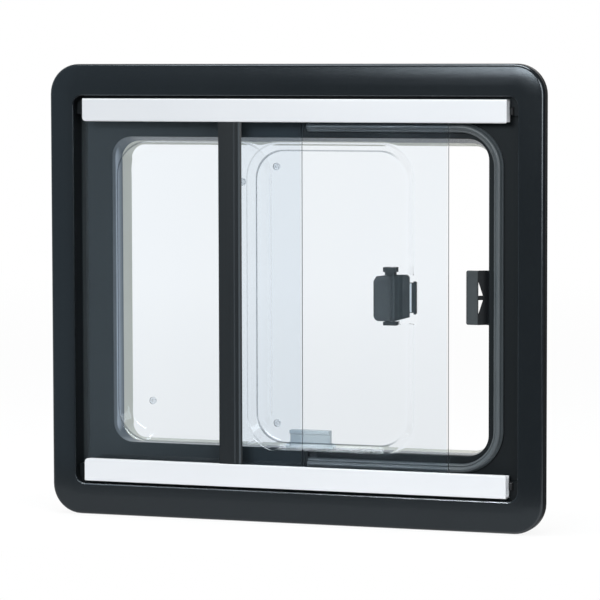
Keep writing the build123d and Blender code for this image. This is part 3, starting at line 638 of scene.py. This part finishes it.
# Screws: eight pan-head screws that pull the inner frame against the sleeve, one in each of its posts.
# Zinc-plated steel with a cross recess; their heads lie on the room side.
SCREW_IN_X = 30.5
SCREW_IN_Z = 44.5
HEAD = ((3.9, 0.0, 0), (3.9, 0.6, 0), (3.5, 1.6, 0), (2.5, 2.2, 0), (1.9, 2.3, 0), (1.7, 2.25, 0.5),
        (1.4, 1.1, 0.5), (0.3, 0.9, 0))
ZINC_TONES = ((0.50, 0.51, 0.52, 1), (0.64, 0.65, 0.65, 1))

screw_zinc, skin, place = new_finish("screw_zinc")
streak = grain(place, size=0.0015)
set_surface(skin, Base_Color=blend_colour(streak, *ZINC_TONES), Metallic=1.0, Roughness=0.30 + 0.14 * streak,
            Normal=bumps(streak, strength=0.06, depth=0.0002))
_, right, _, back, _, top = sides_of("inner_frame")
post_x = right - SCREW_IN_X
post_z = top - SCREW_IN_Z
head = [(r, back + y, cross) for r, y, cross in HEAD]
screws = []
for half in (-0.5, 0.5):
    for x, z in ((half * post_x, post_z), (half * post_x, -post_z), (post_x, half * post_z),
                 (-post_x, half * post_z)):
        screws.append(turned(head, x, z))
place_mesh("inner_frame_screws", screws, screw_zinc, "frame")


# Floor, light and camera: a pale studio table, a white room behind the window and a dim one before it,
# three soft lamps and a long lens. They stand for the studio and belong to no piece.
TABLE_R = 4.0
TABLE_SIDES = 96
TABLE_NEAR = 0.085
TABLE_DROP = 0.0004
TABLE_TONE = (0.88, 0.88, 0.88, 1)
TABLE_LIT = (-0.27, -0.17)
FLOOR_FAR = (0.25, 4.0)
FLOOR_FRONT = (-0.05, -0.30)
SCREEN_LEVEL = 0.92
SCREEN_START = (0.0, 0.06)
SCREEN_DIM = (0.20, 0.29)
ROOM_BEHIND = (0.05, 0.45)
ROOM_LEFT_GLOW = (-0.335, -0.41)
ROOM_RIGHT_DIM = (0.02, 0.18)
WHITE = (1, 1, 1, 1)
COOL_WHITE = (0.72, 0.88, 1, 1)
LAMP_TINT = (0.95, 0.98, 1.0)
LAMP_AIM = Vector((0, 0, 0.25))
LAMPS = (("front_lamp", (-0.35, -4.2, 1.55), (1.5, 1.1), 80),
         ("right_lamp", (2.0, -2.3, 0.95), (1.5, 1.6), 32),
         ("top_lamp", (-0.05, -0.35, 2.5), (1.9, 0.8), 46))
LENS = 195.72
SENSOR_W = 36
CLIP_END = 40
CAMERA_AIM = Vector((0.0104, -0.0145, 0.2246))
CAMERA_AWAY = 3.4186
YAW, PITCH, ROLL = math.radians(19.37), math.radians(4.35), math.radians(-0.13)

floor_mesh = bpy.data.meshes.new("floor")
floor_z = cad_box[0][2] - TABLE_DROP
turns = [i * math.pi / (TABLE_SIDES / 2) for i in range(TABLE_SIDES)]
rim = [(TABLE_R * math.cos(a), TABLE_R * math.sin(a)) for a in turns]
floor_mesh.from_pydata([(x, y if y > 0 else y * TABLE_NEAR, floor_z) for x, y in rim], [],
                       [list(range(TABLE_SIDES))])
floor = bpy.data.objects.new("floor", floor_mesh)
bpy.context.scene.collection.objects.link(floor)


def ray_kinds(wire, extra_turns=0):
    """1 for what is seen straight, for what is seen in glass or gloss, and for a clear view through glass."""
    straight, through, mirrored, turns, passes = wire.node("ShaderNodeLightPath").outputs(
        "Is Camera Ray", "Is Transmission Ray", "Is Glossy Ray", "Ray Depth", "Transmission Depth")
    seen = (1 - straight) * through.larger(mirrored)
    return straight, seen, through * (turns - passes).under(extra_turns + 0.5)


floor_pale, skin, place = new_finish("floor_pale")
set_surface(skin, Base_Color=TABLE_TONE, Roughness=0.9, Specular_IOR_Level=0.1)
straight, seen, clear_view = ray_kinds(skin)
aside, inward, _ = axes_of(place)
away = skin.node("ShaderNodeVectorMath", {"operation": "LENGTH"}, {0: place}, out="Value")
far = ramp_share(away, *FLOOR_FAR).larger(ramp_share(inward, *FLOOR_FRONT))
table = 0.05 + 0.67 * ramp_share(inward, *TABLE_LIT)
table = table + clear_view * (SCREEN_LEVEL - table)
screen = SCREEN_LEVEL + (1 - SCREEN_LEVEL) * far
screen = screen * (1 - 0.9 * (1 - clear_view) * ramp_share(aside, *SCREEN_DIM))
level = straight + seen * (table + (screen - table) * ramp_share(inward, *SCREEN_START))
white = skin.node("ShaderNodeEmission", {}, {"Color": WHITE, "Strength": level})
show(layered(straight * (0.88 + 0.12 * far) + seen, skin, white))
floor_mesh.materials.append(floor_pale)

world = bpy.data.worlds.new("studio")
bpy.context.scene.world = world
world.use_nodes = True
wire = Wire(world.node_tree)
straight, seen, clear_view = ray_kinds(wire, extra_turns=1)
aside, inward, _ = axes_of(wire.node("ShaderNodeTexCoord", out="Generated"))
behind = ramp_share(inward, *ROOM_BEHIND)
room = 0.08 + 0.46 * ramp_share(aside, *ROOM_LEFT_GLOW)
in_gloss = room + behind * (1 - room) * (1 - 0.92 * ramp_share(aside, *ROOM_RIGHT_DIM))
in_gloss = in_gloss + clear_view * (1 - in_gloss)
fallen = (1 - straight) * (1 - seen)
level = straight + seen * in_gloss + fallen * (0.30 + 0.70 * behind)
cool = seen * (1 - behind) * (1 - clear_view)
background = world.node_tree.nodes["Background"]
wire.feed(background.inputs["Color"], blend_colour(cool, WHITE, COOL_WHITE))
wire.feed(background.inputs["Strength"], level)

for name, spot, size, power in LAMPS:
    light = bpy.data.lights.new(name, "AREA")
    light.shape = "RECTANGLE"
    light.size, light.size_y = size
    light.energy = power
    light.color = LAMP_TINT
    lamp = bpy.data.objects.new(name, light)
    lamp.location = spot
    lamp.rotation_euler = (LAMP_AIM - Vector(spot)).to_track_quat("-Z", "Y").to_euler()
    bpy.context.scene.collection.objects.link(lamp)

camera = bpy.data.cameras.new("camera")
camera.lens = LENS
camera.sensor_width = SENSOR_W
camera.clip_end = CLIP_END
eye = bpy.data.objects.new("camera", camera)
forward = Vector((-math.sin(YAW) * math.cos(PITCH), math.cos(YAW) * math.cos(PITCH), -math.sin(PITCH)))
sideways = Vector((math.cos(YAW), math.sin(YAW), 0))
rolled = sideways * math.cos(ROLL) + sideways.cross(forward) * math.sin(ROLL)
turn = Matrix((rolled, rolled.cross(forward), -forward)).transposed().to_4x4()
eye.matrix_world = Matrix.Translation(CAMERA_AIM - forward * CAMERA_AWAY) @ turn
bpy.context.scene.collection.objects.link(eye)
bpy.context.scene.camera = eye
bpy.context.scene.view_settings.view_transform = "Standard"
